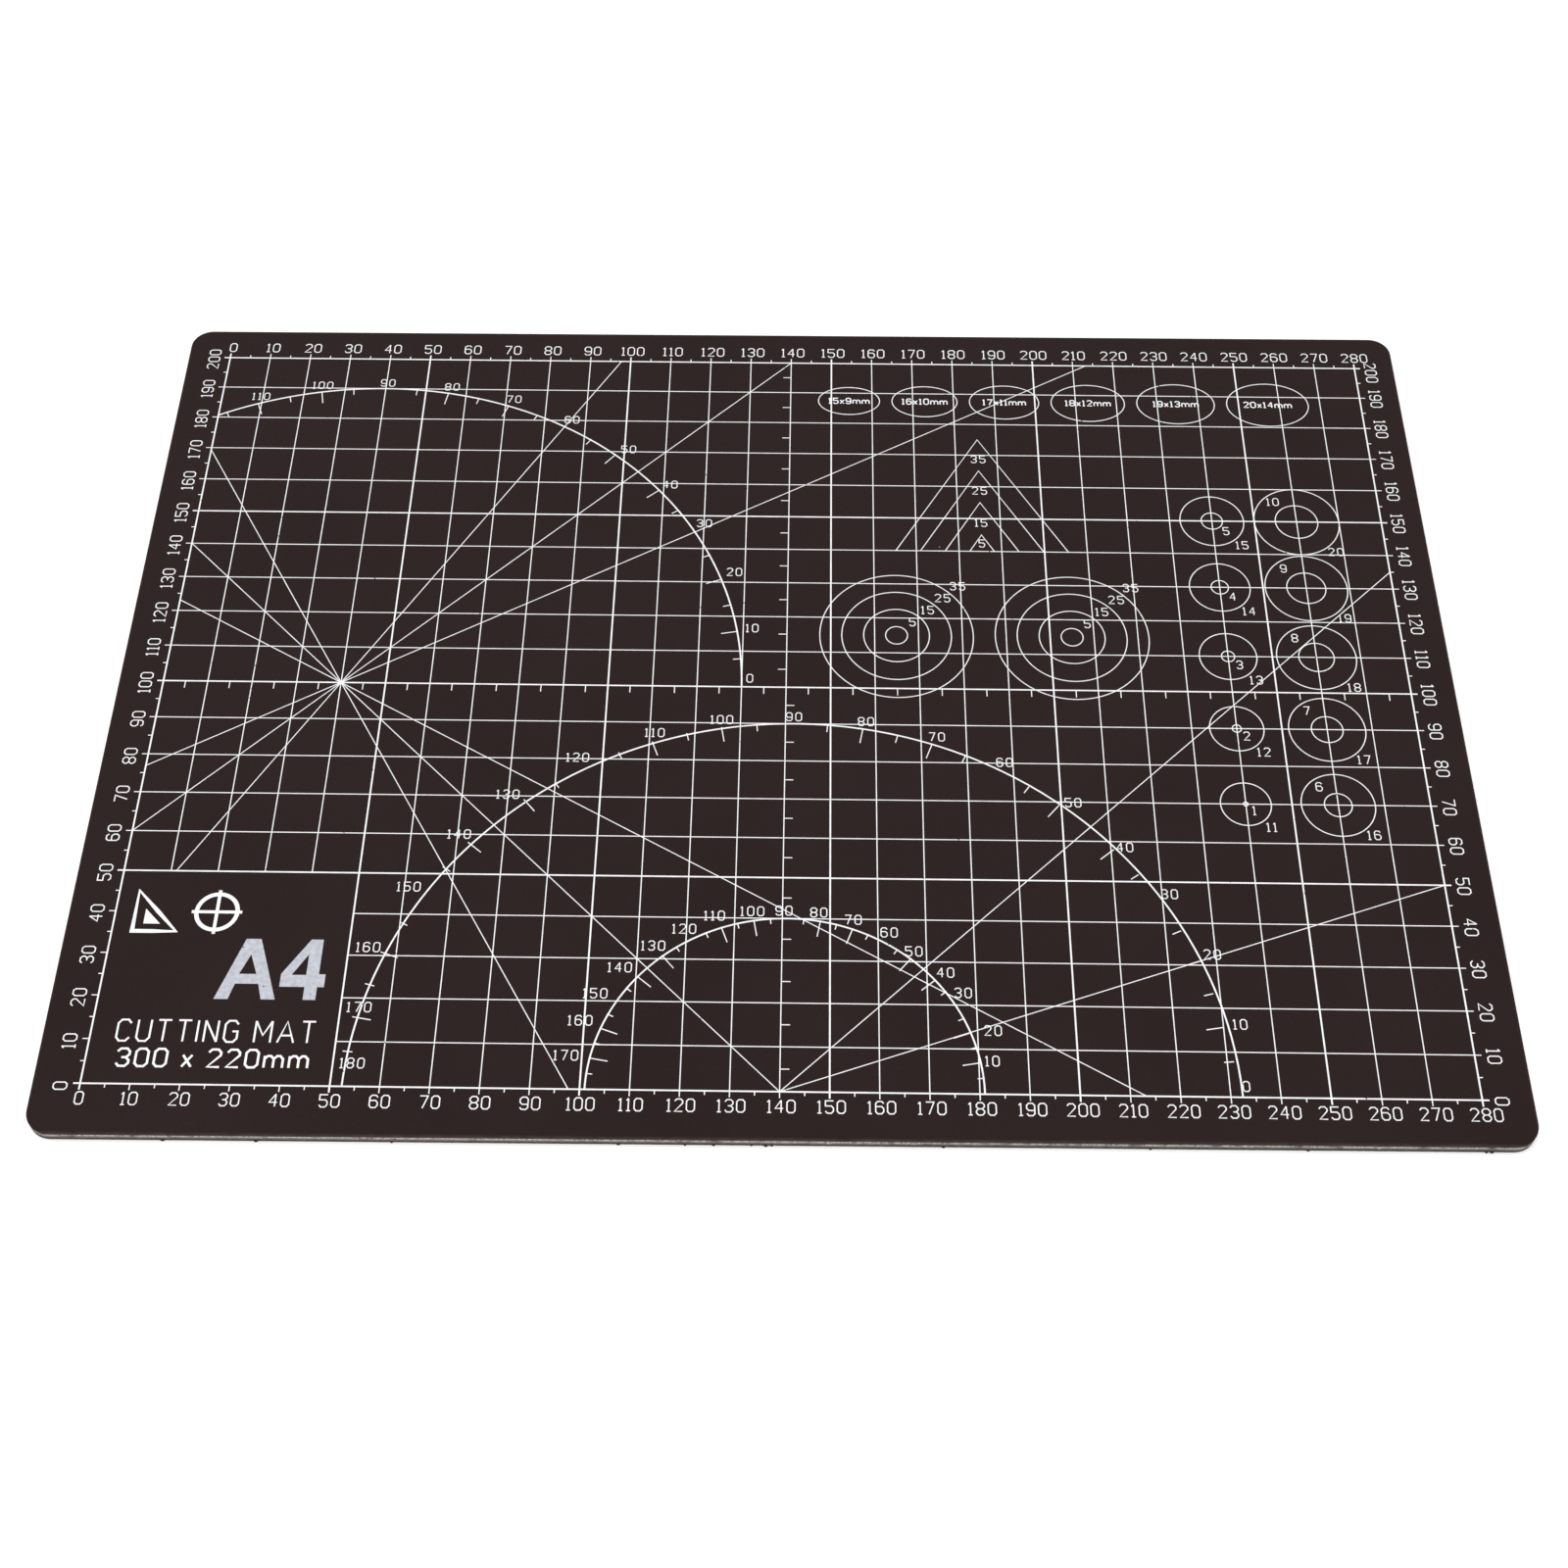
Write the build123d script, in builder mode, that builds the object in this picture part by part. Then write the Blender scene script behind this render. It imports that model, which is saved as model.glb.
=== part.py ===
"""Self-healing cutting mat, A4 size: two vinyl skins bonded to a light core, with the white
measuring print on the top skin. Each ply and each group of printed marks is its own node.

Millimetres. The origin is the middle of the underside, +X runs along the long side (the way the
numbers read), +Y away from the user and +Z up, out of the printed face.
"""

import os
from math import atan2, cos, degrees, hypot, radians, sin, sqrt

from build123d import *

# ---- the mat ---------------------------------------------------------------------------------
MAT_LENGTH = 300.0
MAT_WIDTH = 220.0
MAT_THICKNESS = 3.0
SKIN_THICKNESS = 0.8  # each of the two vinyl skins
CORNER_RADIUS = 5.0
EDGE_ROUND = 0.2  # the cutting die leaves the outer edges slightly rounded

# ---- the scale: a ruled field of whole cells, counted from its zero corner at front left -------
CELL = 10.0
SCALE_MARGIN = 10.0  # at least this much bare skin all round the field
BOLD_EVERY = 5  # cells between two bold lines, and along a side of the title panel
COLUMNS = int((MAT_LENGTH - 2 * SCALE_MARGIN) // CELL)
ROWS = int((MAT_WIDTH - 2 * SCALE_MARGIN) // CELL)
SCALE_LENGTH = COLUMNS * CELL
SCALE_WIDTH = ROWS * CELL
MIDDLE_X = COLUMNS // 2 * CELL
MIDDLE_Y = ROWS // 2 * CELL
PANEL = BOLD_EVERY * CELL

# the print lies a little crooked and high on the blank, which is stamped out afterwards
PRINT_TURN = -0.2  # degrees, anticlockwise seen from above
PRINT_SHIFT_Y = 0.4

# ---- ink -------------------------------------------------------------------------------------
INK_THICKNESS = 0.03
FINE_LINE = 0.22
BOLD_LINE = 0.34
ANGLE_LINE = 0.2
ARC_LINE = 0.35
SMALLEST_INK = 0.05  # square mm: what the screen prints at all
CELL_TICK = 1.4  # the ruler ticks outside the frame, at each cell
HALF_TICK = 0.9  # and half way between
MIDDLE_TICK = 1.9  # the half-cell ticks along the two middle lines

# ---- protractors: the two at the front stand near the middle of the front line -----------------
BACK_CENTRE = (40.0, MIDDLE_Y)
BACK_RADIUS = 90.0
BACK_SWEEP = 118  # degrees, cut short by the frame
WIDE_CENTRE = (MIDDLE_X + 2.4, 0.0)  # the arc is drawn a little off its own ticks
WIDE_TICK_CENTRE = (MIDDLE_X + 1.5, 0.0)
WIDE_RADIUS = 90.0
SMALL_CENTRE = (MIDDLE_X + 1.0, 0.0)
SMALL_RADIUS = 40.0
LONG_TICK = 3.9  # inwards at each ten degrees
SHORT_TICK = 2.0  # and at each five
SMALL_SHORT_TICK = 1.4
TICK_OVERSHOOT = 0.2  # past the arc
LABEL_GAP = 0.7  # from an arc to its numbers
LABEL_DRIFT = 0.35  # the two large protractors' numbers all sit this much further right
BASE_LABEL_RISE = 2.4  # the lowest numbers stand this far above the protractor's base line
# numbers moved off their rule, across and up, clear of a line that would run through them
BACK_MOVES = {10: (0.7, 0.6), 20: (0, 1.3), 30: (-0.7, 1.3), 50: (1, -0.3), 110: (0.9, 0)}
WIDE_MOVES = {10: (0.6, 0.3), 20: (0.2, 0.8), 30: (-0.7, 0.6), 40: (0, -1.1), 50: (1.1, -1.2),
              110: (0.9, 0.2), 120: (-0.9, -0.2), 130: (-2, -1), 170: (0.2, 1.7), 180: (0.3, 2.8)}
SMALL_MOVES = {20: (1.9, -0.4), 30: (-0.8, 1.4), 50: (-1.1, -0.3), 70: (-0.7, 0), 80: (-0.7, 0),
               90: (-0.7, 0), 110: (-0.7, 0.5), 140: (-1.2, 0), 150: (-1.5, 0), 160: (-1, 0.6),
               170: (-1.5, 0)}

# ---- lines at set angles ---------------------------------------------------------------------
CROSS_ANGLES = (30, 45, 60, -30, -45, -60)  # through the back protractor's centre
RAY_HEIGHTS = (135.0, 50.0)  # where the two rays from the front line's middle end, at the right

# ---- templates, placed from the right side and from the middle line ----------------------------
COUPLE_PITCH = 20.0  # from one double circle to the next
COUPLES = ((40.0, 15, 5), (20.0, 20, 10))  # each column: from the right, sizes of its top couple
COUPLE_ROWS = 5
COUPLE_RISE = 50.0
TARGETS = (115.0, 75.0)  # from the right
TARGET_RISE = 15.0
NEST_SIZES = (35, 25, 15, 5)  # of the targets' rings, and the heights of the nested triangles
TRIANGLES = 94.6  # from the right
TRIANGLE_RISE = 40.0
TRIANGLE_LABEL_DROP = 6.3  # from a triangle's tip
OVALS = ((20, 14), (19, 13), (18, 12), (17, 11), (16, 10), (15, 9))
OVAL_RIGHT = 12.9  # bare field to the right of the first oval
OVAL_GAP = 3.05
OVAL_DROP = 12.6  # the ovals' middles from the back
# how far outside its ring a number stands, across and up
OUTER_GAP = (1.1, 2.0)
INNER_SMALL_GAP = (1.3, 1.3)
INNER_LARGE_GAP = (1.5, 2.6)
TARGET_GAP = (1.9, 2.1)

# ---- lettering: (unit across, unit up, gap between characters, pen width) ----------------------
EDGE_FIGURES = (0.398, 0.45, 0.76, 0.25)
FIELD_FIGURES = (0.32, 0.363, 0.82, 0.22)
OVAL_FIGURES = (0.287, 0.291, 0.55, 0.29)
SIZE_LINE = (0.62, 0.653, 1.32, 0.48)
NAME_LINE = (0.657, 0.802, 1.45, 0.4)
FIGURE_UNITS = 6  # a figure's height in units
FRONT_GAP = 0.35  # from the longest tick to the numbers
BACK_GAP = 0.6
SIDE_GAP = 1.05
ALONG_X = 0.35  # the front and back numbers sit this much right of their ticks
LEFT_ALONG_Y = -0.6  # and the side ones this much above theirs
RIGHT_ALONG_Y = -0.2
CORNER_DROP = 1.2  # the right scale's last number stands lower, clear of the back scale's

# Each character: its width in units, then its pen strokes on a grid six units high.
STROKES = {
    "0": (4, [(2, 0), (1, 0), (0, 1), (0, 5), (1, 6), (2, 6)],
          [(2, 0), (3, 0), (4, 1), (4, 5), (3, 6), (2, 6)]),
    "1": (2, [(1, 0), (1, 6)], [(0, 5), (1, 6)], [(0, 0), (2, 0)]),
    "2": (4, [(0, 5), (1, 6), (3, 6), (4, 5), (4, 4), (0, 0), (4, 0)]),
    "3": (4, [(0, 5), (1, 6), (3, 6), (4, 5), (4, 4), (3, 3), (1.5, 3)],
          [(3, 3), (4, 2), (4, 1), (3, 0), (1, 0), (0, 1)]),
    "4": (4, [(3, 0), (3, 6)], [(3, 6), (0, 2), (4, 2)]),
    "5": (4, [(4, 6), (0, 6), (0, 3.5), (3, 3.5), (4, 2.5), (4, 1), (3, 0), (1, 0), (0, 1)]),
    "6": (4, [(4, 5), (3, 6), (1, 6), (0, 5), (0, 1), (1, 0), (2, 0)],
          [(2, 0), (3, 0), (4, 1), (4, 2.5), (3, 3.5), (0, 3.5)]),
    "7": (4, [(0, 6), (4, 6), (1.5, 0)]),
    "8": (4, [(2, 3), (1, 3), (0, 4), (0, 5), (1, 6), (2, 6)],
          [(2, 3), (3, 3), (4, 4), (4, 5), (3, 6), (2, 6)],
          [(2, 3), (1, 3), (0, 2), (0, 1), (1, 0), (2, 0)],
          [(2, 3), (3, 3), (4, 2), (4, 1), (3, 0), (2, 0)]),
    "9": (4, [(0, 1), (1, 0), (3, 0), (4, 1), (4, 5), (3, 6), (2, 6)],
          [(2, 6), (1, 6), (0, 5), (0, 3.5), (1, 2.5), (4, 2.5)]),
    "x": (3, [(0, 0), (3, 4)], [(0, 4), (3, 0)]),
    "m": (6, [(0, 0), (0, 4)], [(0, 3), (1, 4), (2, 4), (3, 3), (3, 0)],
          [(3, 3), (4, 4), (5, 4), (6, 3), (6, 0)]),
    " ": (1,),
    "C": (4, [(4, 5), (3, 6), (1, 6), (0, 5), (0, 1), (1, 0), (3, 0), (4, 1)]),
    "U": (4, [(0, 6), (0, 1), (1, 0), (3, 0), (4, 1), (4, 6)]),
    "T": (4, [(0, 6), (4, 6)], [(2, 0), (2, 6)]),
    "I": (0, [(0, 0), (0, 6)]),
    "N": (4, [(0, 0), (0, 6)], [(0, 6), (4, 0)], [(4, 0), (4, 6)]),
    "G": (4, [(4, 5), (3, 6), (1, 6), (0, 5), (0, 1), (1, 0), (3, 0), (4, 1), (4, 3), (2.4, 3)]),
    "M": (5, [(0, 0), (0, 6)], [(0, 6), (2.5, 2), (5, 6)], [(5, 0), (5, 6)]),
    "A": (5, [(0, 0), (2.5, 6), (5, 0)], [(0.8, 2), (4.2, 2)]),
}
BLUNTEST_MITRE = 0.7  # keeps the outer points of sharp bends short

print_middle = Plane(
    origin=(0, PRINT_SHIFT_Y, MAT_THICKNESS),
    x_dir=(cos(radians(PRINT_TURN)), sin(radians(PRINT_TURN)), 0),
    z_dir=(0, 0, 1),
)
print_plane = Plane(  # its origin is the scale's zero corner
    origin=print_middle.from_local_coords((-SCALE_LENGTH / 2, -SCALE_WIDTH / 2, 0)),
    x_dir=print_middle.x_dir,
    z_dir=(0, 0, 1),
)
printed = []  # the layouts already laid out, which later ones keep clear of


def pen_stroke(points, width):
    """Adds one stroke of the pen to the open sketch, mitred at its bends and square at its ends."""
    path = [complex(*point) for point in points]
    normals = [1j * (b - a) / abs(b - a) for a, b in zip(path, path[1:])]
    bends = [
        (point, (n + m) / max(1 + (n * m.conjugate()).real, BLUNTEST_MITRE))
        for point, n, m in zip(path[1:-1], normals, normals[1:])
    ]
    run = [(path[0], normals[0]), *bends, (path[-1], normals[-1])]
    left = [point + side * width / 2 for point, side in run]
    right = [point - side * width / 2 for point, side in reversed(run)]
    Polygon(*((p.real, p.imag) for p in left + right), align=None)


def text_length(text, figures):
    """The width of the text as written, without its pen's own width."""
    across, _, gap, _ = figures
    return sum(STROKES[character][0] for character in text) * across + gap * (len(text) - 1)


def write(labels, figures):
    """Adds text to the open sketch. Each label is (text, x, y) or (text, x, y, turn in degrees),
    centred on its point."""
    across, up, gap, pen = figures
    places = {}
    for text, x, y, *turn in labels:
        start = -text_length(text, figures) / 2
        for character in text:
            corner = Location((start, -FIGURE_UNITS * up / 2, 0))
            spot = Location((x, y, 0), (0, 0, sum(turn))) * corner
            places.setdefault(character, []).append(spot)
            start += STROKES[character][0] * across + gap
    places.pop(" ", None)
    for character, spots in places.items():
        with BuildSketch(mode=Mode.PRIVATE) as figure:
            for stroke in STROKES[character][1:]:
                pen_stroke([(u * across, v * up) for u, v in stroke], pen)
        with Locations(*spots):
            add(figure.sketch)


def ring(x, y, width, height, line):
    """Adds a circle or an ellipse, drawn with a line of the given width, to the open sketch."""
    with Locations((x, y)):
        Ellipse((width + line) / 2, (height + line) / 2)
        Ellipse((width - line) / 2, (height - line) / 2, mode=Mode.SUBTRACT)


def ring_label(x, y, size, right, up, gap):
    """A ring's number, diagonally outside it: right and up are each 1 or -1."""
    away = size / 2 / sqrt(2)
    return (str(size), x + right * (away + gap[0]), y + up * (away + gap[1]))


def on_arc(centre, radius, angle):
    return (centre[0] + radius * cos(radians(angle)), centre[1] + radius * sin(radians(angle)))


def arc_and_ticks(centre, tick_centre, radius, sweep, short_tick):
    """Adds a protractor's arc and its inward ticks to the open sketch. There is no tick every
    thirty degrees, and none at 45 and 135, where a line of the mat runs."""
    with BuildLine() as arc:
        CenterArc(centre, radius, 0, sweep)
    trace(arc.line, line_width=ARC_LINE)
    for step, reach in ((10, LONG_TICK), (5, short_tick)):
        angles = [a for a in range(5, sweep, 5) if a % 30 and a % 90 != 45]
        angles = [a for a in angles if (a % 10 == 0) == (step == 10)]
        for angle in angles:
            x, y = on_arc(tick_centre, radius + TICK_OVERSHOOT - reach / 2, angle)
            with Locations((x, y)):
                Rectangle(reach, FINE_LINE, rotation=angle)


def arc_labels(centre, radius, angles, moves, drift=0.0, least_x=0.0):
    """A protractor's numbers, upright and just outside its arc, none left of least_x. moves and
    drift then set them off that place."""
    height = FIGURE_UNITS * FIELD_FIGURES[1] + FIELD_FIGURES[3]
    labels = []
    for angle in angles:
        length = text_length(str(angle), FIELD_FIGURES) + FIELD_FIGURES[3]
        reach = abs(cos(radians(angle))) * length / 2 + abs(sin(radians(angle))) * height / 2
        x, y = on_arc(centre, radius + LABEL_GAP + reach, angle)
        x = max(x, least_x + LABEL_GAP + length / 2)
        y = max(y, centre[1] + BASE_LABEL_RISE)
        across, up = moves.get(angle, (0, 0))
        labels.append((str(angle), x + across + drift, y + up))
    return labels


def keep_to_bare_field():
    """Trims the open sketch to the ruled field outside the panel, clear of ink laid out before,
    and drops what that leaves too small to print."""
    add(field.sketch, mode=Mode.INTERSECT)
    add([layout.sketch_local for layout in printed], mode=Mode.SUBTRACT)
    specks = faces().filter_by(lambda face: face.area < SMALLEST_INK)
    if specks:
        add(specks, mode=Mode.SUBTRACT)


# ---- plies ------------------------------------------------------------------------------------
with BuildPart() as bottom_skin:
    with BuildSketch():
        RectangleRounded(MAT_LENGTH, MAT_WIDTH, CORNER_RADIUS)
    extrude(amount=SKIN_THICKNESS)
    fillet(bottom_skin.faces().sort_by(Axis.Z)[0].edges(), EDGE_ROUND)

with BuildPart() as core_ply:
    with BuildSketch(Plane.XY.offset(SKIN_THICKNESS)):
        RectangleRounded(MAT_LENGTH, MAT_WIDTH, CORNER_RADIUS)
    extrude(amount=MAT_THICKNESS - 2 * SKIN_THICKNESS)

with BuildPart() as top_skin:
    with BuildSketch(Plane.XY.offset(MAT_THICKNESS - SKIN_THICKNESS)):
        RectangleRounded(MAT_LENGTH, MAT_WIDTH, CORNER_RADIUS)
    extrude(amount=SKIN_THICKNESS)
    fillet(top_skin.faces().sort_by(Axis.Z)[-1].edges(), EDGE_ROUND)

# ---- the ruled field ----------------------------------------------------------------------------
with BuildSketch() as field:
    Rectangle(SCALE_LENGTH, SCALE_WIDTH, align=Align.MIN)
    Rectangle(PANEL, PANEL, align=Align.MIN, mode=Mode.SUBTRACT)

with BuildPart() as frame_and_ticks:
    with BuildSketch(print_plane) as frame_layout:
        upright = [CELL * i for i in range(0, COLUMNS + 1, BOLD_EVERY)]
        level = [CELL * i for i in range(0, ROWS + 1, BOLD_EVERY)]
        with Locations(*((x, SCALE_WIDTH / 2) for x in {*upright, SCALE_LENGTH})):
            Rectangle(BOLD_LINE, SCALE_WIDTH + 2 * CELL_TICK)
        with Locations(*((SCALE_LENGTH / 2, y) for y in {*level, SCALE_WIDTH})):
            Rectangle(SCALE_LENGTH + 2 * CELL_TICK, BOLD_LINE)
        for first, reach in ((CELL, CELL_TICK), (CELL / 2, HALF_TICK)):
            across = [first + CELL * i for i in range(COLUMNS) if first + CELL * i < SCALE_LENGTH]
            along = [first + CELL * i for i in range(ROWS) if first + CELL * i < SCALE_WIDTH]
            with Locations(*((x, y) for x in across for y in (-reach / 2, SCALE_WIDTH + reach / 2))):
                Rectangle(FINE_LINE, reach)
            with Locations(*((x, y) for y in along for x in (-reach / 2, SCALE_LENGTH + reach / 2))):
                Rectangle(reach, FINE_LINE)
        with Locations(*((CELL * (i + 0.5), MIDDLE_Y - MIDDLE_TICK / 2) for i in range(COLUMNS))):
            Rectangle(FINE_LINE, MIDDLE_TICK)
    extrude(amount=INK_THICKNESS)
printed.append(frame_layout)

with BuildPart() as fine_grid:
    with BuildSketch(print_plane) as fine_layout:
        with Locations(*((CELL * i, SCALE_WIDTH / 2) for i in range(COLUMNS) if i % BOLD_EVERY)):
            Rectangle(FINE_LINE, SCALE_WIDTH)
        with Locations(*((SCALE_LENGTH / 2, CELL * i) for i in range(ROWS) if i % BOLD_EVERY)):
            Rectangle(SCALE_LENGTH, FINE_LINE)
        halves = [CELL * (i + 0.5) for i in range(ROWS)]
        sides = [MIDDLE_TICK / 2 if y < MIDDLE_Y else -MIDDLE_TICK / 2 for y in halves]
        with Locations(*((MIDDLE_X + side, y) for side, y in zip(sides, halves))):
            Rectangle(MIDDLE_TICK, FINE_LINE)
        keep_to_bare_field()
    extrude(amount=INK_THICKNESS)
printed.append(fine_layout)

with BuildPart() as angle_lines:
    with BuildSketch(print_plane) as angle_layout:
        reach = hypot(SCALE_LENGTH, SCALE_WIDTH)
        with Locations(BACK_CENTRE):
            for angle in CROSS_ANGLES:
                Rectangle(2 * reach, ANGLE_LINE, rotation=angle)
        with Locations((MIDDLE_X, 0)):
            for height in RAY_HEIGHTS:
                angle = degrees(atan2(height, SCALE_LENGTH - MIDDLE_X))
                Rectangle(reach, ANGLE_LINE, rotation=angle, align=(Align.MIN, Align.CENTER))
        keep_to_bare_field()
    extrude(amount=INK_THICKNESS)
printed.append(angle_layout)

# ---- protractors --------------------------------------------------------------------------------
with BuildPart() as back_protractor:
    with BuildSketch(print_plane) as back_layout:
        arc_and_ticks(BACK_CENTRE, BACK_CENTRE, BACK_RADIUS, BACK_SWEEP, SHORT_TICK)
        angles = range(0, BACK_SWEEP, 10)
        labels = arc_labels(BACK_CENTRE, BACK_RADIUS, angles, BACK_MOVES, LABEL_DRIFT)
        write(labels, FIELD_FIGURES)
        keep_to_bare_field()
    extrude(amount=INK_THICKNESS)
printed.append(back_layout)

with BuildPart() as wide_protractor:
    with BuildSketch(print_plane) as wide_layout:
        arc_and_ticks(WIDE_CENTRE, WIDE_TICK_CENTRE, WIDE_RADIUS, 180, SHORT_TICK)
        angles = range(0, 181, 10)
        labels = arc_labels(WIDE_TICK_CENTRE, WIDE_RADIUS, angles, WIDE_MOVES, LABEL_DRIFT, PANEL)
        write(labels, FIELD_FIGURES)
        keep_to_bare_field()
    extrude(amount=INK_THICKNESS)
printed.append(wide_layout)

with BuildPart() as small_protractor:
    with BuildSketch(print_plane) as small_layout:
        arc_and_ticks(SMALL_CENTRE, SMALL_CENTRE, SMALL_RADIUS, 180, SMALL_SHORT_TICK)
        labels = arc_labels(SMALL_CENTRE, SMALL_RADIUS, range(10, 180, 10), SMALL_MOVES)
        write(labels, FIELD_FIGURES)
        keep_to_bare_field()
    extrude(amount=INK_THICKNESS)
printed.append(small_layout)

# ---- templates ----------------------------------------------------------------------------------
with BuildPart() as double_circles:
    with BuildSketch(print_plane) as couple_layout:
        labels = []
        for right, outer, inner in COUPLES:
            small = inner <= COUPLE_ROWS  # small inner rings are labelled below, large ones above
            side, gap = (1, INNER_SMALL_GAP) if small else (-1, INNER_LARGE_GAP)
            for row in range(COUPLE_ROWS):
                x, y = SCALE_LENGTH - right, MIDDLE_Y + COUPLE_RISE - COUPLE_PITCH * row
                ring(x, y, outer - row, outer - row, FINE_LINE)
                ring(x, y, inner - row, inner - row, FINE_LINE)
                labels.append(ring_label(x, y, outer - row, 1, -1, OUTER_GAP))
                labels.append(ring_label(x, y, inner - row, side, -side, gap))
        write(labels, FIELD_FIGURES)
        keep_to_bare_field()
    extrude(amount=INK_THICKNESS)
printed.append(couple_layout)

with BuildPart() as target_circles:
    with BuildSketch(print_plane) as target_layout:
        centres = [(SCALE_LENGTH - right, MIDDLE_Y + TARGET_RISE) for right in TARGETS]
        for x, y in centres:
            for size in NEST_SIZES:
                ring(x, y, size, size, FINE_LINE)
        labels = [ring_label(x, y, n, 1, 1, TARGET_GAP) for x, y in centres for n in NEST_SIZES]
        write(labels, FIELD_FIGURES)
        keep_to_bare_field()
    extrude(amount=INK_THICKNESS)
printed.append(target_layout)

with BuildPart() as nested_triangles:
    with BuildSketch(print_plane) as triangle_layout:
        x, base = SCALE_LENGTH - TRIANGLES, MIDDLE_Y + TRIANGLE_RISE
        for height in NEST_SIZES:
            half = height / sqrt(3)
            pen_stroke([(x - half, base), (x, base + height), (x + half, base)], FINE_LINE)
        heights = [max(height - TRIANGLE_LABEL_DROP, BASE_LABEL_RISE) for height in NEST_SIZES]
        write([(str(n), x, base + up) for n, up in zip(NEST_SIZES, heights)], FIELD_FIGURES)
        keep_to_bare_field()
    extrude(amount=INK_THICKNESS)
printed.append(triangle_layout)

with BuildPart() as ovals:
    with BuildSketch(print_plane) as oval_layout:
        edge, y = SCALE_LENGTH - OVAL_RIGHT, SCALE_WIDTH - OVAL_DROP
        labels = []
        for width, height in OVALS:
            ring(edge - width / 2, y, width, height, FINE_LINE)
            labels.append((f"{width}x{height}mm", edge - width / 2, y))
            edge -= width + OVAL_GAP
        write(labels, OVAL_FIGURES)
        keep_to_bare_field()
    extrude(amount=INK_THICKNESS)
printed.append(oval_layout)

# ---- numbers along the edges ----------------------------------------------------------------------
figure_height = FIGURE_UNITS * EDGE_FIGURES[1] + EDGE_FIGURES[3]
front_off, back_off, side_off = (
    CELL_TICK + gap + figure_height / 2 for gap in (FRONT_GAP, BACK_GAP, SIDE_GAP)
)
columns = [(f"{CELL * i:.0f}", CELL * i) for i in range(COLUMNS + 1)]
rows = [(f"{CELL * i:.0f}", CELL * i) for i in range(ROWS + 1)]
edge_labels = {
    "front_numbers": [(text, x + ALONG_X, -front_off) for text, x in columns],
    "back_numbers": [(text, x + ALONG_X, SCALE_WIDTH + back_off) for text, x in columns],
    "left_numbers": [(text, -side_off, y + LEFT_ALONG_Y, 90) for text, y in rows],
    "right_numbers": [
        (text, SCALE_LENGTH + side_off, y + RIGHT_ALONG_Y - drop, -90)
        for (text, y), drop in zip(rows, [0] * ROWS + [CORNER_DROP])
    ],
}
edge_numbers = {}
for name, labels in edge_labels.items():
    with BuildPart() as numbers:
        with BuildSketch(print_plane):
            write(labels, EDGE_FIGURES)
        extrude(amount=INK_THICKNESS)
    edge_numbers[name] = numbers

# ---- title panel: its artwork is set out on fifty units each way ----------------------------------
unit = PANEL / 50

with BuildPart() as title_panel:  # two plain marks, what the thing is, and its size in mm
    with BuildSketch(print_plane):
        with BuildSketch(mode=Mode.PRIVATE) as artwork:
            # a set square and a ring with cross hairs
            pen_stroke([(8.5, 35.2), (4.2, 35.2), (4.2, 45), (9, 39.9)], 0.9)
            pen_stroke([(8.5, 35.2), (13.4, 35.2), (9, 39.9)], 0.9)
            Polygon((6.3, 37), (6.3, 40.6), (9.8, 37), align=None)
            ring(21.3, 40, 8.6, 8.6, 0.9)
            with Locations((21.3, 40)):
                Rectangle(10.6, 0.7)
                Rectangle(0.7, 10.6)
            write([("CUTTING MAT", 25.4, 12)], NAME_LINE)
            write([(f"{MAT_LENGTH:.0f} x {MAT_WIDTH:.0f}mm", 25.6, 5.9)], SIZE_LINE)
        add(artwork.sketch.scale(unit))
    extrude(amount=INK_THICKNESS)

with BuildPart() as size_mark:  # the paper size, filled in
    with BuildSketch(print_plane):
        with BuildSketch(mode=Mode.PRIVATE) as letters:
            with Locations((35, 26.5)):
                Polygon((-11.3, -7.1), (-8.4, -7.1), (-7.4, -3.5), (-2.6, -3.5), (-1.6, -7.1),
                        (1.3, -7.1), (-3.4, 7.1), (-6.5, 7.1), align=None)
                Polygon((-6.9, -1.2), (-5, 3.4), (-3.3, -1.2), align=None, mode=Mode.SUBTRACT)
                Polygon((1.8, -1.1), (1.8, -4.1), (7, -4.1), (7, -7.1), (9.6, -7.1), (9.6, -4.1),
                        (11, -4.1), (11, -1.1), (9.6, -1.1), (9.6, 7.1), (7.1, 7.1), align=None)
                Polygon((4, -1.3), (7, -1.3), (7, 3.6), align=None, mode=Mode.SUBTRACT)
        add(letters.sketch.scale(unit))
    extrude(amount=INK_THICKNESS)

# ---- one STEP file per node, in the frame above ---------------------------------------------------
os.makedirs("parts", exist_ok=True)
nodes = {
    "bottom_skin": bottom_skin,
    "core_ply": core_ply,
    "top_skin": top_skin,
    "frame_and_ticks": frame_and_ticks,
    "fine_grid": fine_grid,
    "angle_lines": angle_lines,
    "back_protractor": back_protractor,
    "wide_protractor": wide_protractor,
    "small_protractor": small_protractor,
    "double_circles": double_circles,
    "target_circles": target_circles,
    "nested_triangles": nested_triangles,
    "ovals": ovals,
    "title_panel": title_panel,
    "size_mark": size_mark,
    **edge_numbers,
}
for name, node in nodes.items():
    node.part.label = name
    export_step(node.part, f"parts/{name}.step", write_pcurves=False)
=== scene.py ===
# %% [markdown]
# # A self-healing cutting mat
# The mat is a sandwich of three vinyl plies with a white measuring print on its upper face. Its
# shape, size and print come from the CAD model, which is loaded here as a fixed frame. This
# lesson gives every ply and every group of printed marks its finish, adds the small flaws that a
# cutting die leaves along the edge, and sets up the floor, the light and the camera.

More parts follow.
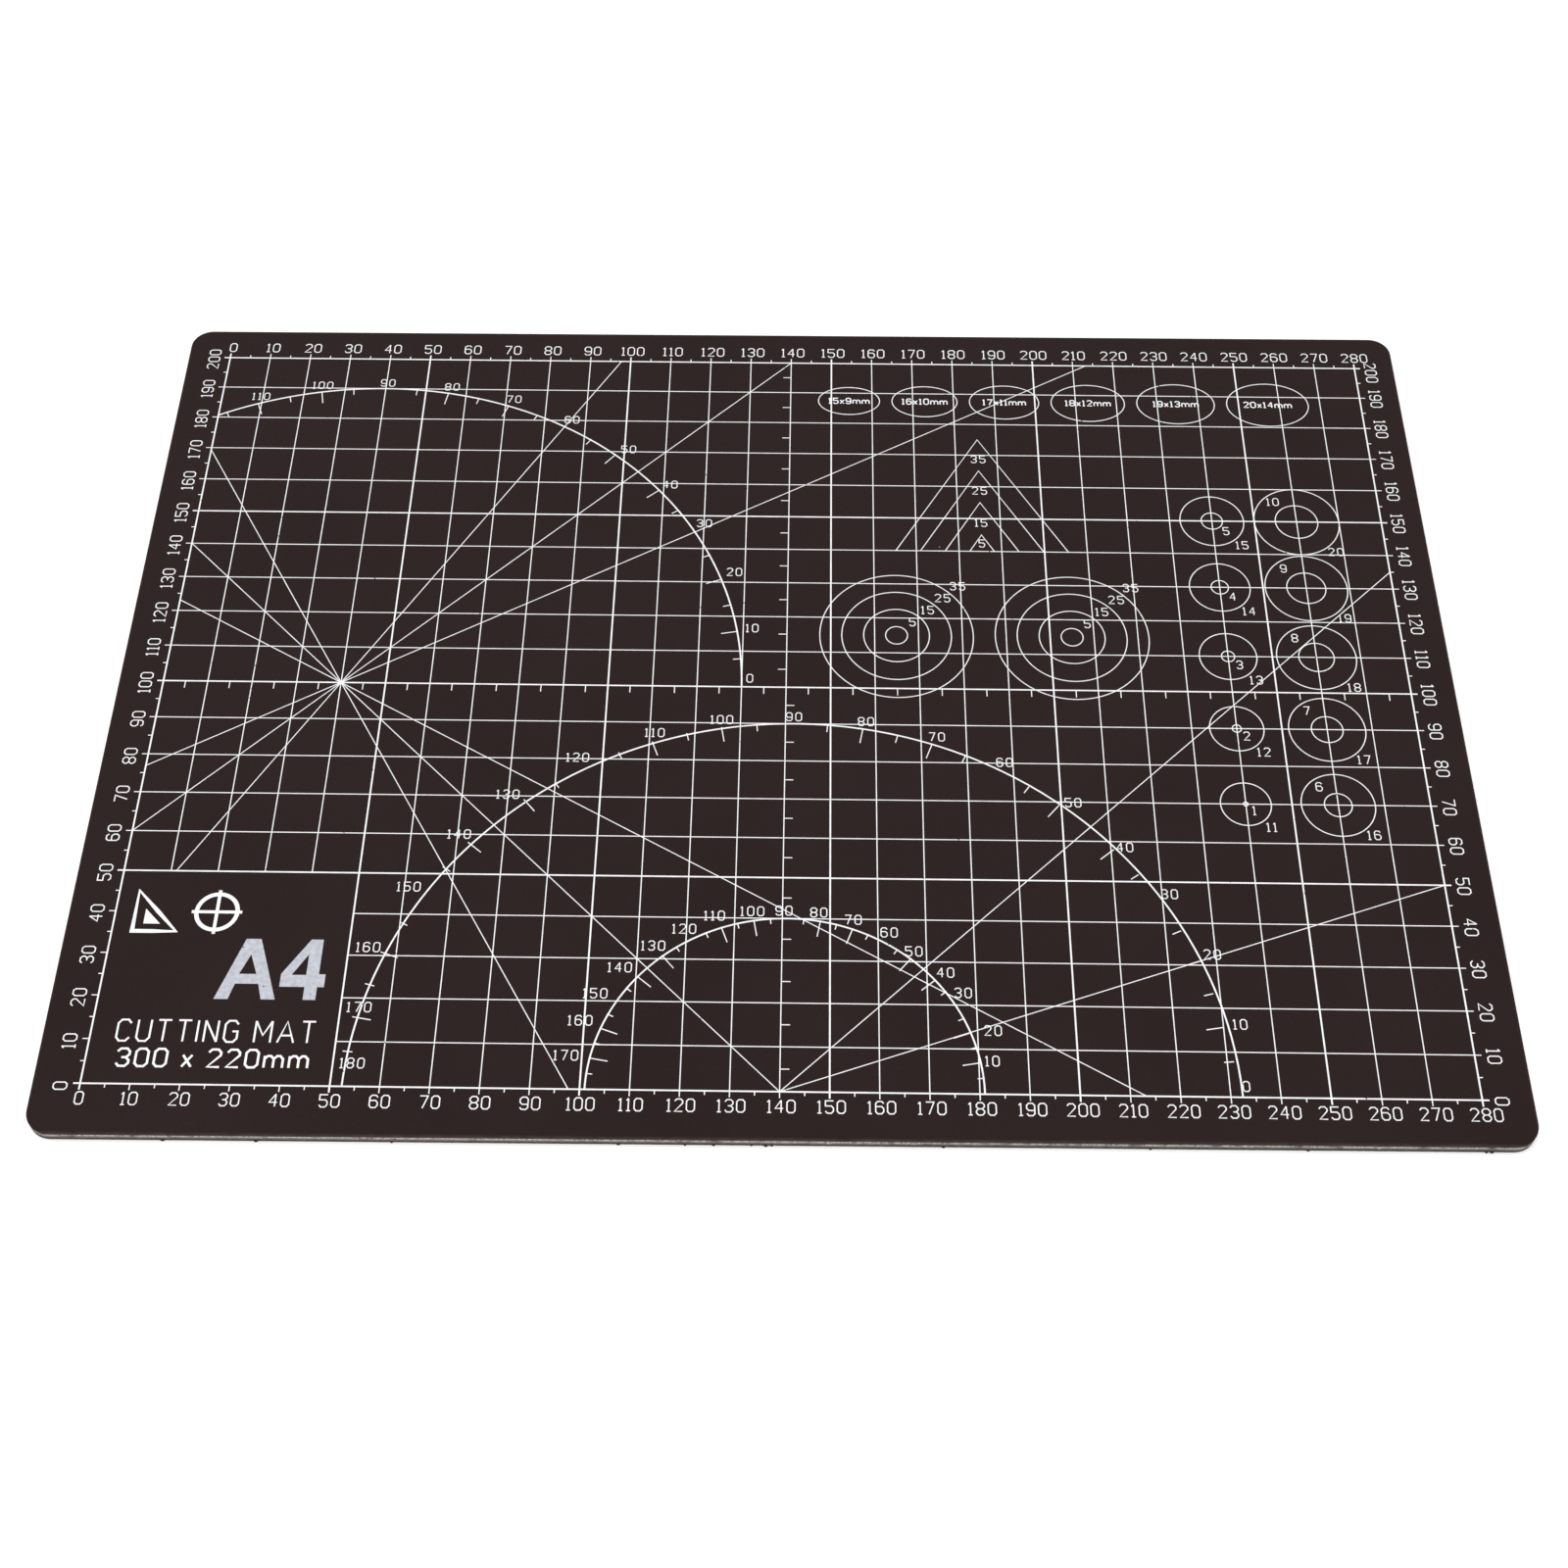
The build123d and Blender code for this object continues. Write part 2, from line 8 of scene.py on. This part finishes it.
# %% Load the frame
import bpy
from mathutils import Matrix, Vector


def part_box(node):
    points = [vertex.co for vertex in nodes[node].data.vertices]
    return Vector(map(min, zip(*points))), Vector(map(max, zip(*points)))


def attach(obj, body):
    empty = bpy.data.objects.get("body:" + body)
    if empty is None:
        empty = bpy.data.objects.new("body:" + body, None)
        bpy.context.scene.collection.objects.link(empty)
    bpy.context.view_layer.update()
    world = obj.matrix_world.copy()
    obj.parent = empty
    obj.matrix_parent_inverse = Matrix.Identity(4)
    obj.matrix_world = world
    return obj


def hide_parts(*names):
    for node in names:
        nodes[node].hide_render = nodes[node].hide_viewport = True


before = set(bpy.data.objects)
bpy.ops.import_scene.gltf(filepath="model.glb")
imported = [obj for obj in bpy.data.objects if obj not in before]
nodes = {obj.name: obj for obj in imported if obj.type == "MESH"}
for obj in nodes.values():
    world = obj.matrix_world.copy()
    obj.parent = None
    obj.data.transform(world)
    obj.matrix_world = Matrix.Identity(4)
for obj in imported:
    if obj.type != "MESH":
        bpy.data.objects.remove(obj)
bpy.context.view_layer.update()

# %% Libraries and the nodes
import math
import random

import bmesh
import bpy
from mathutils import Vector, noise

MM = 0.001
print(len(nodes), "nodes:", ", ".join(sorted(nodes)))

# %% [markdown]
# ## Colours and node trees
# Colours are written as the hex values a screen shows, and Blender's shaders want linear light,
# so one function converts them. A material is a tree of nodes, and one small helper adds a node,
# sets its properties and sockets, and makes its links, so each finish below reads as a recipe.
# A Mix node has sockets of the same name for numbers, vectors and colours, so its sockets are
# picked by number: 0 is the amount, 6 and 7 are the two colours, and output 2 is the result.


# %% Helpers for finishes
def linear(hex_colour):
    """An sRGB hex colour as linear red, green, blue and alpha."""
    channels = [int(hex_colour[i : i + 2], 16) / 255 for i in (1, 3, 5)]
    return (*(c / 12.92 if c <= 0.04045 else ((c + 0.055) / 1.055) ** 2.4 for c in channels), 1.0)


def add_node(tree, kind, settings=None, **sockets):
    """Adds a node. settings are its properties; each socket gets a value, a colour as hex text, or
    a link if the value is another node's output. A socket's name has _ for a space, and i with a
    number picks a socket by its index."""
    node = tree.nodes.new("ShaderNode" + kind)
    for name, value in (settings or {}).items():
        setattr(node, name, value)
    for name, value in sockets.items():
        key = int(name[1:]) if name[0] == "i" and name[1:].isdigit() else name.replace("_", " ")
        if isinstance(value, bpy.types.NodeSocket):
            tree.links.new(value, node.inputs[key])
        else:
            node.inputs[key].default_value = linear(value) if isinstance(value, str) else value
    return node


def new_finish(name):
    """An empty material: returns it, its tree, and the place on the object in metres."""
    material = bpy.data.materials.new(name)
    material.use_nodes = True
    tree = material.node_tree
    tree.nodes.clear()
    place = add_node(tree, "TexCoord").outputs["Object"]
    return material, tree, place


def dress(material, *names):
    """Puts a finish on CAD nodes."""
    for name in names:
        nodes[name].data.materials.clear()
        nodes[name].data.materials.append(material)
    print(material.name, "->", ", ".join(names))


COLOURS = {"data_type": "RGBA"}  # what a Mix node is set to, to mix colours
print("a mid grey in linear light:", [round(v, 3) for v in linear("#808080")])

# %% [markdown]
# ## The two vinyl skins
# The skins are soft filled PVC, rolled (calendered) between matt rollers. The eye gets a very
# dark warm brown with hardly any shine, a fine even tooth that catches the light, and broad,
# faint clouds where the filler is not perfectly mixed. The light that the tooth catches is
# painted in: the grain's high points get paler flecks, a painted highlight. The rollers' tooth
# is about 0.15 mm, too fine to show from half a metre, so it is drawn at 0.6 mm, with a coarser
# pebble of 1.7 mm under it. Three things could make it: a displaced mesh, an image or noise.
# Noise costs no geometry and has no seams, so it is used. Along the outline the rim is painted a
# little paler: a painted highlight where the cut edge catches the light, and wear where hands and
# the bench rub it. A few specks of dust lie in the tooth.

# %% Where the outline runs
def corners_of(name):
    """A CAD node's lowest and highest corners, in metres."""
    low, high = (Vector(corner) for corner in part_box(name))
    return low, high


mat_low, mat_high = corners_of("top_skin")
HALF_X = (mat_high.x - mat_low.x) / 2
HALF_Y = (mat_high.y - mat_low.y) / 2
print("the mat is", round(2 * HALF_X / MM), "by", round(2 * HALF_Y / MM), "mm")

# %% Paler rim (painted highlight and wear) and dust
RIM_MM = 0.5  # how far in from the outline the paler rim reaches: painted highlight and rubbing wear
DUST_MM = 9.0  # the patches that a speck of dust is dealt to, most of them left empty
DUST_SHARE = 0.07  # of the patches
DUST_SPOT = 0.018  # a speck's size, as a share of its patch
# the rim's colour: a painted highlight along the cut edge, with rubbing wear
RIM_HIGHLIGHT_AND_WEAR_COLOUR = "#3D322F"
DUST_COLOUR = "#8D857E"


# A paler rim along the outline: a painted highlight where the edge catches the light, plus rubbing
# wear.
def rim_highlight_and_wear(tree, place, patchiness):
    """1 at the outline, 0 inside it, broken up by a noise."""
    apart = add_node(tree, "SeparateXYZ", Vector=place)
    sides = []
    for axis, half in (("X", HALF_X), ("Y", HALF_Y)):
        off = add_node(tree, "Math", {"operation": "ABSOLUTE"}, i0=apart.outputs[axis])
        rim = add_node(
            tree, "MapRange", Value=off.outputs[0], From_Min=half - RIM_MM * MM, From_Max=half
        )
        sides.append(rim.outputs["Result"])
    either = add_node(tree, "Math", {"operation": "MAXIMUM"}, i0=sides[0], i1=sides[1])
    broken = add_node(
        tree, "Math", {"operation": "MULTIPLY"}, i0=either.outputs[0], i1=patchiness
    )
    return broken.outputs[0]


def dust_specks(tree, place):
    """1 on a speck of dust, 0 elsewhere."""
    patches = add_node(tree, "TexVoronoi", Vector=place, Scale=1 / (DUST_MM * MM))
    near = add_node(
        tree, "Math", {"operation": "LESS_THAN"}, i0=patches.outputs["Distance"], i1=DUST_SPOT
    )
    dealt = add_node(tree, "SeparateColor", Color=patches.outputs["Color"])
    few = add_node(
        tree, "Math", {"operation": "GREATER_THAN"}, i0=dealt.outputs["Red"], i1=1 - DUST_SHARE
    )
    speck = add_node(tree, "Math", {"operation": "MULTIPLY"}, i0=near.outputs[0], i1=few.outputs[0])
    return speck.outputs[0]


print("dust on about", round(DUST_SHARE * 4 * HALF_X * HALF_Y / (DUST_MM * MM) ** 2), "patches")

# %% Matt calendered vinyl
GRAIN_MM = 0.6  # drawn coarser than the real 0.15 mm so that it shows
PEBBLE_MM = 1.7
CLOUD_MM = 45.0
VINYL_IOR = 1.53
VINYL_SHINE = 0.12  # the specular level: next to none


def matt_vinyl(name, deep, pale, tooth_mm):
    """Rolled vinyl: clouds of two browns, pale flecks on the grain's high points as a painted
    highlight, then the paler rim (painted highlight and wear) and the dust.
    tooth_mm is how deep the rollers' tooth is."""
    material, tree, place = new_finish(name)
    clouds = add_node(tree, "TexNoise", Vector=place, Scale=1 / (CLOUD_MM * MM), Detail=3.0)
    grain = add_node(tree, "TexNoise", Vector=place, Scale=1 / (GRAIN_MM * MM), Detail=2.0)
    pebble = add_node(tree, "TexNoise", Vector=place, Scale=1 / (PEBBLE_MM * MM), Detail=1.0)
    cloudy = add_node(tree, "Mix", COLOURS, i0=clouds.outputs["Fac"], i6=deep, i7=pale)
    # pale flecks on the grain's high points: a painted highlight where the tooth catches the light
    tooth_highlight = add_node(tree, "MapRange", Value=grain.outputs["Fac"], From_Min=0.5, From_Max=0.75)
    with_tooth_highlight = add_node(
        tree, "Mix", COLOURS, i0=tooth_highlight.outputs["Result"], i6=cloudy.outputs[2], i7=pale
    )
    # the paler rim: a painted highlight along the cut edge, and rubbing wear
    rim_highlight_and_wear_mask = rim_highlight_and_wear(tree, place, pebble.outputs["Fac"])
    rimmed = add_node(tree, "Mix", COLOURS, i0=rim_highlight_and_wear_mask, i6=with_tooth_highlight.outputs[2], i7=RIM_HIGHLIGHT_AND_WEAR_COLOUR)
    specks = dust_specks(tree, place)
    dusty = add_node(tree, "Mix", COLOURS, i0=specks, i6=rimmed.outputs[2], i7=DUST_COLOUR)
    rough = add_node(
        tree, "MapRange", Value=grain.outputs["Fac"], From_Min=0.3, From_Max=0.7, To_Min=0.6,
        To_Max=0.8,
    )
    height = add_node(
        tree, "Math", {"operation": "ADD"}, i0=grain.outputs["Fac"], i1=pebble.outputs["Fac"]
    )
    bump = add_node(tree, "Bump", Height=height.outputs[0], Strength=1.0, Distance=tooth_mm * MM)
    shader = add_node(
        tree, "BsdfPrincipled", Base_Color=dusty.outputs[2], Roughness=rough.outputs["Result"],
        Normal=bump.outputs["Normal"], IOR=VINYL_IOR, Specular_IOR_Level=VINYL_SHINE,
    )
    add_node(tree, "OutputMaterial", Surface=shader.outputs["BSDF"])
    return material


brown_vinyl = matt_vinyl("matt_brown_vinyl", "#170A09", "#231615", 0.11)
back_vinyl = matt_vinyl("matt_brown_vinyl_back", "#150A09", "#241816", 0.16)
dress(brown_vinyl, "top_skin")
dress(back_vinyl, "bottom_skin")

# %% [markdown]
# ## The core
# Between the skins is a lighter, slightly foamed vinyl, seen only where the die has sheared it.
# The die drags at it, so the cut face is not flat: it is full of small pits and ridges a tenth
# of a millimetre deep, a little behind the skins. A bump in the material would leave its outline
# straight in a close view, and a displacement modifier would need the flat faces cut up too. So
# the ply is built again as a ring of narrow upright strips, and a noise pushes every point of it
# in or out. The walk round the outline is a function, because the crumbs further down use it too.

# %% A walk round the mat's outline
CORNER_MM = 5.0  # the radius of the mat's corners
core_low, core_high = corners_of("core_ply")
CENTRE = (core_low + core_high) / 2
RADIUS = CORNER_MM * MM
STRAIGHTS = (2 * (HALF_X - RADIUS), 2 * (HALF_Y - RADIUS))
ARC = math.pi / 2 * RADIUS
ROUND = 2 * sum(STRAIGHTS) + 4 * ARC  # once round the mat


def on_outline(distance):
    """The point at a distance along the outline, from the front left anticlockwise, and the
    direction straight out of the edge there."""
    distance %= ROUND
    for side in range(4):
        along = Vector((math.cos(side * math.pi / 2), math.sin(side * math.pi / 2), 0))
        out = Vector((along.y, -along.x, 0))
        reach, depth = (HALF_X, HALF_Y) if side % 2 == 0 else (HALF_Y, HALF_X)
        straight = STRAIGHTS[side % 2]
        if distance < straight:
            place = along * (distance - straight / 2) + out * depth
            return place + Vector((CENTRE.x, CENTRE.y, 0)), out
        distance -= straight
        if distance < ARC:
            turn = distance / RADIUS
            outward = out * math.cos(turn) + along * math.sin(turn)
            middle = along * (reach - RADIUS) + out * (depth - RADIUS)
            return middle + outward * RADIUS + Vector((CENTRE.x, CENTRE.y, 0)), outward
        distance -= ARC


print("once round the edge:", round(ROUND / MM), "mm")

# %% How deep the cut face lies
LEVELS = 7  # rings of points, one above another
SET_BACK_MM = 0.07  # behind the skins
PIT_MM = 0.7  # from one pit to the next
PIT_DEPTH_MM = 0.09
PIT_SQUASH = 1.6  # times shorter than they are long
DRAG_MM = 7.0  # the slow waver where the die dragged
DRAG_DEPTH_MM = 0.04
LEAST_MM = 0.005  # the least depth, so that no point stands out past the skins
WAVER_HEIGHT = 3.1  # where the waver's noise is read, so that it is the same at every level
RIM_SHARE = 0.35  # of the depth is left at the core's rims, which the skins hold


def sheared_depth(place, level):
    """How far the cut face stands from the outline, in metres: always inwards."""
    pits = noise.noise(Vector((place.x, place.y, place.z * PIT_SQUASH)) / (PIT_MM * MM))
    waver = noise.noise(Vector((place.x, place.y, WAVER_HEIGHT)) / (DRAG_MM * MM))
    held = RIM_SHARE if level in (0, LEVELS - 1) else 1.0
    depth = SET_BACK_MM + PIT_DEPTH_MM * pits + DRAG_DEPTH_MM * waver
    return max(depth, LEAST_MM) * held * MM


print("the cut face lies", SET_BACK_MM, "mm back, give or take", PIT_DEPTH_MM + DRAG_DEPTH_MM)

# %% The core ply with its sheared face
STRIP_MM = 0.45  # a strip's width

core_mesh = bpy.data.meshes.new("sheared_core")
build = bmesh.new()
strips = round(ROUND / (STRIP_MM * MM))
rings = []
for level in range(LEVELS):
    height = core_low.z + (core_high.z - core_low.z) * level / (LEVELS - 1)
    ring = []
    for strip in range(strips):
        place, out = on_outline(ROUND * strip / strips)
        place.z = height
        ring.append(build.verts.new(place - out * sheared_depth(place, level)))
    rings.append(ring)
for lower, upper in zip(rings, rings[1:]):
    for i in range(strips):
        j = (i + 1) % strips
        build.faces.new((lower[i], lower[j], upper[j], upper[i]))
build.faces.new(list(reversed(rings[0])))
build.faces.new(rings[-1])
build.to_mesh(core_mesh)
build.free()
sheared_ply = bpy.data.objects.new("sheared_core", core_mesh)
bpy.context.collection.objects.link(sheared_ply)
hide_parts("core_ply")
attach(sheared_ply, "root")
print("the cut face has", strips, "strips of", LEVELS - 1, "faces")

# %% [markdown]
# The core's vinyl is an off-white grey. A sheared face is drawn downwards: it has fine upright
# streaks about half a millimetre apart, and its colour is paler at the top and darker towards
# the lower skin. Stretching a noise along Z gives the streaks, and the height above the table
# gives the fade. An image would have to be unwrapped round the whole edge, while this pattern
# needs only each point's place.

# %% Sheared vinyl core
STREAK_MM = 0.5
STREAK_LENGTH = 4.0  # times its width
STREAK_DEPTH_MM = 0.08
BLOTCH_MM = 2.4
DARKEST_SHARE = 0.2  # of the core's height, from below, at the darkest colour


def sheared_vinyl(name, low, high):
    """Cut vinyl between two heights: a fade from dark below to pale above, with streaks and
    blotches.
    """
    material, tree, place = new_finish(name)
    squeezed = add_node(tree, "Mapping", Vector=place, Scale=(1, 1, 1 / STREAK_LENGTH))
    streaks = add_node(
        tree, "TexNoise", Vector=squeezed.outputs["Vector"], Scale=1 / (STREAK_MM * MM), Detail=3.0
    )
    blotches = add_node(tree, "TexNoise", Vector=place, Scale=1 / (BLOTCH_MM * MM), Detail=2.0)
    apart = add_node(tree, "SeparateXYZ", Vector=place)
    # darker towards the lower skin, paler towards the top
    darkest_to = low + DARKEST_SHARE * (high - low)
    fade = add_node(tree, "MapRange", Value=apart.outputs["Z"], From_Min=darkest_to, From_Max=high)
    drawn = add_node(tree, "Mix", COLOURS, i0=fade.outputs["Result"], i6="#5A5552", i7="#CFCBC7")
    smear = add_node(tree, "MapRange", Value=streaks.outputs["Fac"], From_Min=0.42, From_Max=0.68)
    streaky = add_node(
        tree, "Mix", COLOURS, i0=smear.outputs["Result"], i6=drawn.outputs[2], i7="#6E6864"
    )
    torn = add_node(tree, "MapRange", Value=blotches.outputs["Fac"], From_Min=0.52, From_Max=0.7)
    patchy = add_node(
        tree, "Mix", COLOURS, i0=torn.outputs["Result"], i6=streaky.outputs[2], i7="#544D4A"
    )
    bump = add_node(
        tree, "Bump", Height=streaks.outputs["Fac"], Strength=0.6, Distance=STREAK_DEPTH_MM * MM
    )
    shader = add_node(
        tree, "BsdfPrincipled", Base_Color=patchy.outputs[2], Normal=bump.outputs["Normal"],
        Roughness=0.8, IOR=1.5, Specular_IOR_Level=0.3,
    )
    add_node(tree, "OutputMaterial", Surface=shader.outputs["BSDF"])
    return material


pale_core = sheared_vinyl("sheared_pale_vinyl", core_low.z, core_high.z)
core_mesh.materials.append(pale_core)
dress(pale_core, "core_ply")
heights = [round(corner.z / MM, 2) for corner in (core_low, core_high)]
print("the core runs from", heights[0], "to", heights[1], "mm above the table")

# %% [markdown]
# ## Crumbs and burrs on the cut edge
# A worn die leaves crumbs of pale core standing out of the edge, and at the foot of the lower
# skin short dark burrs where the last of the vinyl tore. They are what makes the edge look cut
# rather than drawn. Each is a small faceted ball, flattened, pulled long and roughened by noise,
# half sunk in the edge. They could be scattered by a particle system, which is hard to steer, or
# modelled one by one. Here the first few of each kind are placed at listed points on the front
# edge and the rest are dealt round the mat with a seeded random, so that every run gives the
# same ones.

# %% How a torn bit is made
random.seed(41)
FRONT_START = -STRAIGHTS[0] / 2  # the outline's walk starts at this x
SMALLEST, LARGEST = 0.6, 1.15  # times the size given
LUMP_DEPTH = 0.5  # how far the noise pushes a bit's skin, as a share of its radius
LUMPS = 3.1  # how many lumps there are across a bit, roughly
LEAST_HEIGHT_MM = 0.02  # above the table


def torn_bits(name, starts, height, size, material):
    """Roughened lumps along the edge: size is (length, standing out, tall) in millimetres."""
    mesh = bpy.data.meshes.new(name)
    build = bmesh.new()
    for start in starts:
        place, out = on_outline(start)
        along = Vector((-out.y, out.x, 0))
        grow = random.uniform(SMALLEST, LARGEST)
        made = bmesh.ops.create_icosphere(build, subdivisions=2, radius=0.5)["verts"]
        for vert in made:
            rough = 1 + LUMP_DEPTH * noise.noise(vert.co * LUMPS + place / MM)
            x, y, z = (vert.co[i] * size[i] * grow * rough * MM for i in range(3))
            level = max(height + z, LEAST_HEIGHT_MM * MM)
            vert.co = place + along * x + out * y + Vector((0, 0, level))
    build.to_mesh(mesh)
    build.free()
    mesh.materials.append(material)
    bits = bpy.data.objects.new(name, mesh)
    bpy.context.collection.objects.link(bits)
    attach(bits, "root")
    print(name, "-", len(starts), "bits")


print("a torn bit comes", SMALLEST, "to", LARGEST, "times its given size")

# %% Crumbs and burrs round the edge
CRUMBS_AT = (-23.4, 118.0)  # x of those on the front edge, in millimetres
MORE_CRUMBS = 22
CRUMB_MM = (1.0, 0.34, 0.62)
CRUMB_LEVEL = 0.55  # of the core's height
BURRS_AT = (-19.0, -3.0, 32.2)
MORE_BURRS = 40
BURR_MM = (0.8, 0.5, 0.3)
BURR_HEIGHT_MM = 0.16


def bits_along(placed, more):
    """Those listed for the front edge, then more dealt round the mat."""
    return [x * MM - FRONT_START for x in placed] + [random.uniform(0, ROUND) for _ in range(more)]


torn_bits(
    "core_crumbs", bits_along(CRUMBS_AT, MORE_CRUMBS),
    core_low.z + CRUMB_LEVEL * (core_high.z - core_low.z), CRUMB_MM, pale_core,
)
torn_bits(
    "skin_burrs", bits_along(BURRS_AT, MORE_BURRS),
    BURR_HEIGHT_MM * MM, BURR_MM, back_vinyl,
)

# %% [markdown]
# ## The ink
# The scales are white screen-printing ink pressed through a fine mesh. Thin lines come out a
# clean white with a few pinholes where the ink missed the grain. Wide fills, as in the large
# paper-size mark, are thinner, so the brown shows through as a cool mottled grey. The marks could
# be painted on the skin by a mask, but the CAD model holds each as a thin solid, so their edges
# stay sharp at any distance and only the coat's own look is needed. Both inks are one recipe: a
# white, a cooler white in patches, and pinholes of skin colour.

# %% Screen-printed ink
PINHOLE_MM = 1.1  # the patches that a pinhole is dealt to
PINHOLE_SPOT = 0.16  # a pinhole's size, as a share of its patch
PINHOLE_COLOUR = "#4A4241"
COAT_DEPTH_MM = 0.02


def screen_ink(name, white, thin, patch_mm, thins_from, pinholes):
    """patch_mm is the size of the thin patches, thins_from the level of their noise where the ink
    starts to thin, and pinholes the share of places for a pinhole that have one."""
    material, tree, place = new_finish(name)
    patches = add_node(tree, "TexNoise", Vector=place, Scale=1 / (patch_mm * MM), Detail=4.0)
    spread = add_node(
        tree, "MapRange", Value=patches.outputs["Fac"], From_Min=thins_from, From_Max=0.75
    )
    coat = add_node(tree, "Mix", COLOURS, i0=spread.outputs["Result"], i6=white, i7=thin)
    holes = add_node(tree, "TexVoronoi", Vector=place, Scale=1 / (PINHOLE_MM * MM))
    dealt_to = add_node(tree, "SeparateColor", Color=holes.outputs["Color"])
    near = add_node(
        tree, "Math", {"operation": "LESS_THAN"}, i0=holes.outputs["Distance"], i1=PINHOLE_SPOT
    )
    few = add_node(
        tree, "Math", {"operation": "GREATER_THAN"}, i0=dealt_to.outputs["Red"], i1=1 - pinholes
    )
    hole = add_node(tree, "Math", {"operation": "MULTIPLY"}, i0=near.outputs[0], i1=few.outputs[0])
    holed = add_node(
        tree, "Mix", COLOURS, i0=hole.outputs[0], i6=coat.outputs[2], i7=PINHOLE_COLOUR
    )
    bump = add_node(
        tree, "Bump", Height=patches.outputs["Fac"], Strength=0.25, Distance=COAT_DEPTH_MM * MM
    )
    shader = add_node(
        tree, "BsdfPrincipled", Base_Color=holed.outputs[2], Normal=bump.outputs["Normal"],
        Roughness=0.55, IOR=1.48, Specular_IOR_Level=0.35,
    )
    add_node(tree, "OutputMaterial", Surface=shader.outputs["BSDF"])
    return material


line_ink = screen_ink("white_screen_ink", "#E6E6E7", "#CFD1D5", 3.0, 0.35, 0.05)
fill_ink = screen_ink("white_screen_ink_thin_fill", "#BABDC4", "#989BA3", 1.0, 0.2, 0.02)
plies = ["top_skin", "core_ply", "bottom_skin"]
dress(line_ink, *(name for name in sorted(nodes) if name not in [*plies, "size_mark"]))
dress(fill_ink, "size_mark")

# %% [markdown]
# ## Floor, light and camera
# The mat lies on a plain white table, a single sheet with a faint pulp in its colour. Soft light
# comes from a wide panel overhead and a bright surrounding, so the shadow is only a thin soft line
# along the edges. A lamp with hard edges would have drawn it black, and a surrounding alone would
# have left the mat's dark skin without form.

# %% Floor
FLOOR_SIDE = 6.0  # metres
PULP_MM = 4.0

floor_mesh = bpy.data.meshes.new("white_table")
sheet = bmesh.new()
bmesh.ops.create_grid(sheet, x_segments=1, y_segments=1, size=FLOOR_SIDE / 2)
sheet.to_mesh(floor_mesh)
sheet.free()
floor = bpy.data.objects.new("white_table", floor_mesh)
bpy.context.collection.objects.link(floor)
white_paper, tree, place = new_finish("matt_white_paper")
pulp = add_node(tree, "TexNoise", Vector=place, Scale=1 / (PULP_MM * MM), Detail=3.0)
paper = add_node(tree, "Mix", COLOURS, i0=pulp.outputs["Fac"], i6="#F7F7F7", i7="#FBFBFB")
shader = add_node(
    tree, "BsdfPrincipled", Base_Color=paper.outputs[2], Roughness=0.9, Specular_IOR_Level=0.1
)
add_node(tree, "OutputMaterial", Surface=shader.outputs["BSDF"])
floor_mesh.materials.append(white_paper)
print("floor", FLOOR_SIDE, "m a side")

# %% Light
world = bpy.data.worlds.new("soft_surround")
bpy.context.scene.world = world
world.use_nodes = True
background = world.node_tree.nodes["Background"]
background.inputs["Color"].default_value = linear("#FFFFFF")
background.inputs["Strength"].default_value = 1.0

PANEL_SIDES = (1.8, 1.4)  # metres
PANEL_WATTS = 14.0
PANEL_AT = (-0.25, -0.35, 1.5)
panel = bpy.data.lights.new("overhead_panel", "AREA")
panel.shape = "RECTANGLE"
panel.size, panel.size_y = PANEL_SIDES
panel.energy = PANEL_WATTS
panel_object = bpy.data.objects.new("overhead_panel", panel)
panel_object.location = PANEL_AT
panel_object.rotation_euler = (-panel_object.location).to_track_quat("-Z", "Y").to_euler()
bpy.context.collection.objects.link(panel_object)
bpy.context.scene.view_settings.view_transform = "Standard"
print("overhead panel at", PANEL_AT, "of", PANEL_WATTS, "W")

# %% Camera
EYE = (0.0025, -0.2977, 0.4101)  # metres
LOOK_DOWN = 56.25  # degrees below the horizon
SWING = 0.57  # degrees to the left of straight ahead
LENS_MM = 51.58

camera = bpy.data.cameras.new("camera")
camera.lens = LENS_MM
camera.sensor_width = 36.0
camera.clip_start = 0.01
viewer = bpy.data.objects.new("camera", camera)
viewer.location = EYE
viewer.rotation_euler = (math.radians(90 - LOOK_DOWN), 0, math.radians(SWING))
bpy.context.collection.objects.link(viewer)
bpy.context.scene.camera = viewer
print("camera", EYE, "lens", LENS_MM, "mm")
